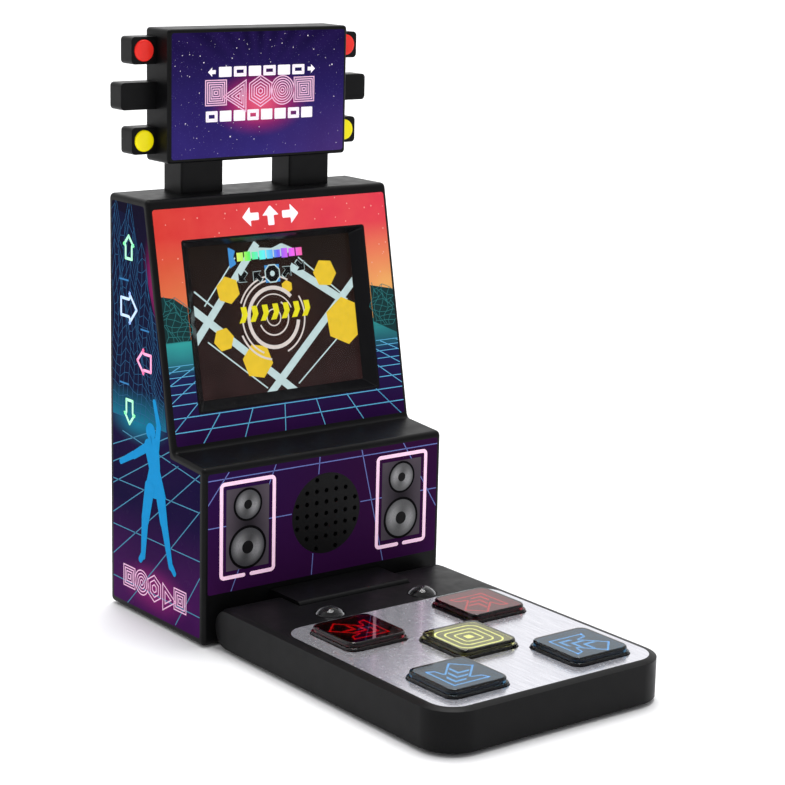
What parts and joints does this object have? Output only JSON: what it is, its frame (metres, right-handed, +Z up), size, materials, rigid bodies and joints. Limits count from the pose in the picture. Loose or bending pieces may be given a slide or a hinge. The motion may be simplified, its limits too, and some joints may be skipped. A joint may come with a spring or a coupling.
{
  "type": "dance rhythm machine",
  "caption": "Tabletop mini arcade cabinet with slanted screen, speaker grille, top sign with side lamps, and a fold-up finger dance pad with sprung square buttons.",
  "frame": {"origin": "on the supporting surface, under the centre of the overall footprint", "axes": "+Z up, -Y towards the player, +X to the player's right; the pad folds up about an axis along X"},
  "size_m": [0.0854, 0.1544, 0.1695],
  "materials": {
    "black_plastic": "fine satin texture",
    "gloss_black": "gloss",
    "side_print": "gloss printed film",
    "screen_print": "gloss printed film",
    "speaker_print": "gloss printed film",
    "sign_print": "gloss printed film",
    "clear_lens": "clear polished",
    "display": "lit display",
    "circuit_board": "solder mask",
    "steel": "zinc plated",
    "speaker_paper": "pressed paper",
    "cell_wrap": "printed film",
    "rubber": "matt",
    "silicone": "translucent matt",
    "silver_sheet": "bright metallic film",
    "red_lamp": "gloss",
    "yellow_lamp": "gloss",
    "red_cap": "tinted clear",
    "yellow_cap": "tinted clear",
    "blue_cap": "tinted clear",
    "insert": "gloss printed"
  },
  "bodies": {
    "cabinet": {"cabinet_shell": "black_plastic", "back_cover": "black_plastic", "back_cover_screws": "steel", "cabinet_feet": "rubber", "side_decal_left": "side_print", "side_decal_right": "side_print", "screen_panel_decal": "screen_print", "speaker_panel_decal": "speaker_print", "screen_bezel": "gloss_black", "screen_lens": "clear_lens", "lcd_module": "display", "main_board": "circuit_board", "board_screws": "steel", "speaker_frame": "steel", "speaker_cone": "speaker_paper", "battery_tray": "black_plastic", "battery_cells": "cell_wrap", "battery_contacts": "steel", "switch_body": "circuit_board", "hinge_tongue": "black_plastic", "tongue_screws": "steel", "marquee_front": "black_plastic", "marquee_back": "black_plastic", "marquee_decal": "sign_print", "marquee_post_left": "black_plastic", "marquee_post_right": "black_plastic", "marquee_screws": "steel", "post_screws": "steel", "red_lamp_lenses": "red_lamp", "yellow_lamp_lenses": "yellow_lamp"},
    "dance_pad": {"pad_shell": "gloss_black", "pad_bottom_cover": "black_plastic", "pad_sheet": "silver_sheet", "pad_board": "circuit_board", "pad_membrane": "silicone", "pad_screws": "steel", "pad_feet": "rubber", "hinge_pin": "steel"},
    "dance_button_back_left": {"button_cap_back_left": "red_cap", "button_insert_back_left": "insert"},
    "dance_button_back_right": {"button_cap_back_right": "red_cap", "button_insert_back_right": "insert"},
    "dance_button_centre": {"button_cap_centre": "yellow_cap", "button_insert_centre": "insert"},
    "dance_button_front_left": {"button_cap_front_left": "blue_cap", "button_insert_front_left": "insert"},
    "dance_button_front_right": {"button_cap_front_right": "blue_cap", "button_insert_front_right": "insert"},
    "dome_button_left": {"menu_button_left": "clear_lens"},
    "dome_button_right": {"menu_button_right": "clear_lens"},
    "power_knob": {"power_switch": "black_plastic"},
    "battery_hatch": {"battery_door": "black_plastic", "door_screw": "steel"}
  },
  "joints": [
    {"name": "pad_fold", "type": "hinge", "parent": "cabinet", "child": "dance_pad", "pos_m": [0, 0.01965, 0.0066], "axis": [-1, 0, 0], "range_deg": [0, 80]},
    {"name": "press_back_left", "type": "slide", "parent": "dance_pad", "child": "dance_button_back_left", "axis": [0, 0, -1], "range_m": [0, 0.0012], "stiffness_N_per_m": 400, "springref_m": -0.0006},
    {"name": "press_back_right", "type": "slide", "parent": "dance_pad", "child": "dance_button_back_right", "axis": [0, 0, -1], "range_m": [0, 0.0012], "stiffness_N_per_m": 400, "springref_m": -0.0006},
    {"name": "press_centre", "type": "slide", "parent": "dance_pad", "child": "dance_button_centre", "axis": [0, 0, -1], "range_m": [0, 0.0012], "stiffness_N_per_m": 400, "springref_m": -0.0006},
    {"name": "press_front_left", "type": "slide", "parent": "dance_pad", "child": "dance_button_front_left", "axis": [0, 0, -1], "range_m": [0, 0.0012], "stiffness_N_per_m": 400, "springref_m": -0.0006},
    {"name": "press_front_right", "type": "slide", "parent": "dance_pad", "child": "dance_button_front_right", "axis": [0, 0, -1], "range_m": [0, 0.0012], "stiffness_N_per_m": 400, "springref_m": -0.0006},
    {"name": "press_menu_left", "type": "slide", "parent": "dance_pad", "child": "dome_button_left", "axis": [0, 0, -1], "range_m": [0, 0.0008], "stiffness_N_per_m": 400, "springref_m": -0.0005},
    {"name": "press_menu_right", "type": "slide", "parent": "dance_pad", "child": "dome_button_right", "axis": [0, 0, -1], "range_m": [0, 0.0008], "stiffness_N_per_m": 400, "springref_m": -0.0005},
    {"name": "power_slide", "type": "slide", "parent": "cabinet", "child": "power_knob", "axis": [1, 0, 0], "range_m": [0, 0.003]},
    {"name": "battery_door_off", "type": "slide", "parent": "cabinet", "child": "battery_hatch", "axis": [0, 1, 0], "range_m": [0, 0.015]}
  ]
}
